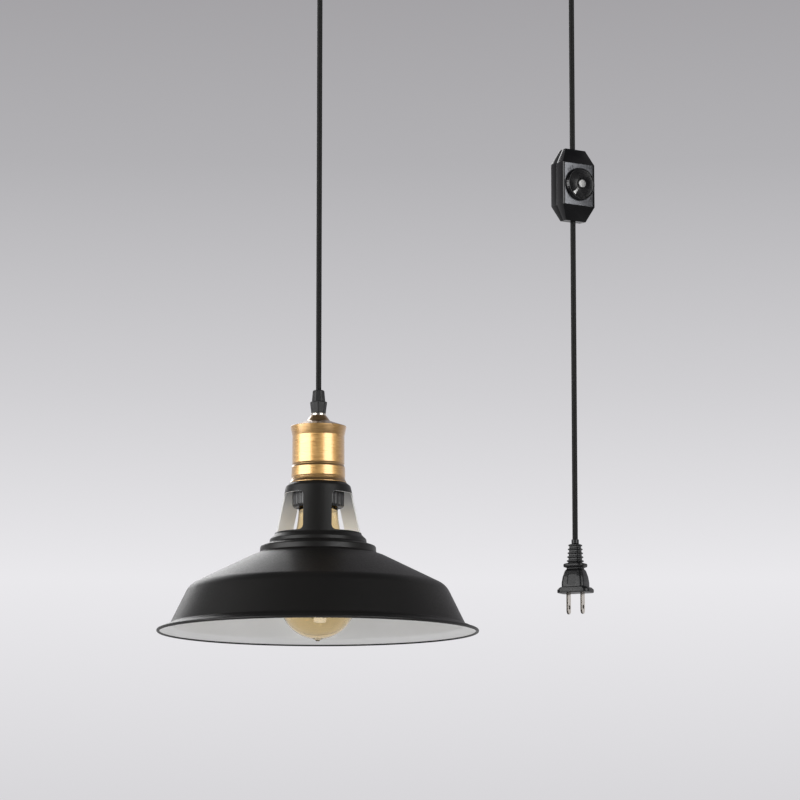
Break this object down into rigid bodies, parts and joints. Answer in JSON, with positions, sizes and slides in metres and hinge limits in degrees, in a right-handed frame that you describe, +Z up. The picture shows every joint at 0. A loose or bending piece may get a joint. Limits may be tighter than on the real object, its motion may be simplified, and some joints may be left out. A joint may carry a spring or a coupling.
{
  "type": "pendant light",
  "caption": "Bell-shaped spun metal pendant shade on a screw lampholder with filament bulb, hung on textile cord from ceiling cups, with in-line rotary dimmer and plug.",
  "frame": {"origin": "on the ceiling face of the lamp's ceiling plate, on the lamp's axis", "axes": "+Z up into the ceiling, +X from the lamp towards the plug side of the cord, -Y towards the viewer"},
  "size_m": [0.378, 0.27, 0.6126],
  "materials": {
    "shade_enamel": "satin black powder coat outside, white enamel inside",
    "antique_brass": "brushed round the axis",
    "black_phenolic": "moulded phenolic",
    "steatite": "unglazed fired",
    "brass": "pressed sheet",
    "steel": "zinc plated",
    "zinc_steel": "zinc plated",
    "nickel": "nickel plated",
    "grip_plastic": "fine moulded",
    "wire_black": "extruded",
    "wire_white": "extruded",
    "amber_glass": "clear blown, amber tint",
    "clear_glass": "clear",
    "black_glass": "fused glass",
    "solder": "solder button",
    "support_wire": "drawn wire",
    "filament_wire": "carbon look",
    "textile_cord": "braided cotton over two cores",
    "gloss_black": "polished ABS",
    "brushed_plate": "brushed along the plate",
    "silver_trim": "spun satin",
    "pot_body": "moulded",
    "circuit_board": "solder mask",
    "semiconductor": "moulded epoxy",
    "copper_coil": "enamelled copper winding",
    "terminal_plastic": "moulded",
    "black_pvc": "moulded PVC",
    "bridge_plastic": "moulded",
    "cup_paint": "satin black paint"
  },
  "bodies": {
    "ceiling": {"swag_cord": "textile_cord", "lamp_ceiling_plate": "zinc_steel", "lead_ceiling_plate": "zinc_steel", "lamp_ceiling_cup": "cup_paint", "lead_ceiling_cup": "cup_paint", "lamp_cup_gland": "grip_plastic", "lead_cup_gland": "grip_plastic", "lamp_gland_nut": "zinc_steel", "lead_gland_nut": "zinc_steel", "lamp_clamp_screw": "steel", "lead_clamp_screw": "steel", "lamp_cup_screws": "steel", "lead_cup_screws": "steel"},
    "pendant": {"lamp_cord": "textile_cord", "shade": "shade_enamel", "shade_ring": "black_phenolic", "socket_cover": "antique_brass", "lampholder_body": "black_phenolic", "lampholder_cap": "black_phenolic", "socket_core": "steatite", "screw_shell": "brass", "centre_contact": "brass", "terminal_screws": "steel", "live_wire": "wire_black", "neutral_wire": "wire_white", "hollow_nipple": "zinc_steel", "nipple_nut": "zinc_steel", "grip_washer": "nickel", "cord_grip_base": "grip_plastic", "cord_grip_cap": "grip_plastic"},
    "bulb_lift": {"bulb_tip_contact": "solder"},
    "bulb": {"bulb_envelope": "amber_glass", "bulb_cap": "brass", "bulb_cap_insulator": "black_glass", "bulb_stem": "clear_glass", "filament_supports": "support_wire", "lead_in_wires": "support_wire", "filament": "filament_wire"},
    "lead": {"dimmer_cord": "textile_cord", "plug_cord": "textile_cord", "dimmer_front_shell": "gloss_black", "dimmer_back_shell": "gloss_black", "dimmer_face_plate": "brushed_plate", "potentiometer": "pot_body", "circuit_board": "circuit_board", "triac": "semiconductor", "choke_coil": "copper_coil", "terminal_blocks": "terminal_plastic", "cord_clamps": "steel", "dimmer_screws": "steel", "plug_body": "black_pvc", "plug_bridge": "bridge_plastic", "live_blade": "nickel", "neutral_blade": "nickel"},
    "knob": {"dimmer_knob": "gloss_black", "knob_button": "silver_trim", "knob_pointer": "silver_trim", "dimmer_shaft": "steel"}
  },
  "joints": [
    {"name": "lamp_swing", "type": "hinge", "parent": "ceiling", "child": "pendant", "pos_m": [0, 0, -0.044], "axis": [1, 0, 0], "range_deg": [-12, 12]},
    {"name": "bulb_travel", "type": "slide", "parent": "pendant", "child": "bulb_lift", "axis": [0, 0, -1], "range_m": [0, 0.0196]},
    {"name": "bulb_turn", "type": "hinge", "parent": "bulb_lift", "child": "bulb", "pos_m": [0, 0, -0.489], "axis": [0, 0, -1], "range_deg": [0, 1980]},
    {"name": "lead_swing", "type": "hinge", "parent": "ceiling", "child": "lead", "pos_m": [0.216, 0, -0.044], "axis": [1, 0, 0], "range_deg": [-12, 12]},
    {"name": "knob_turn", "type": "hinge", "parent": "lead", "child": "knob", "pos_m": [0.216, 0, -0.224], "axis": [0.5446, -0.8387, 0], "range_deg": [-280, 20]}
  ],
  "couplings": [
    {"joint": "bulb_turn", "follows": "bulb_travel", "rad_per_m": 1731.4}
  ]
}
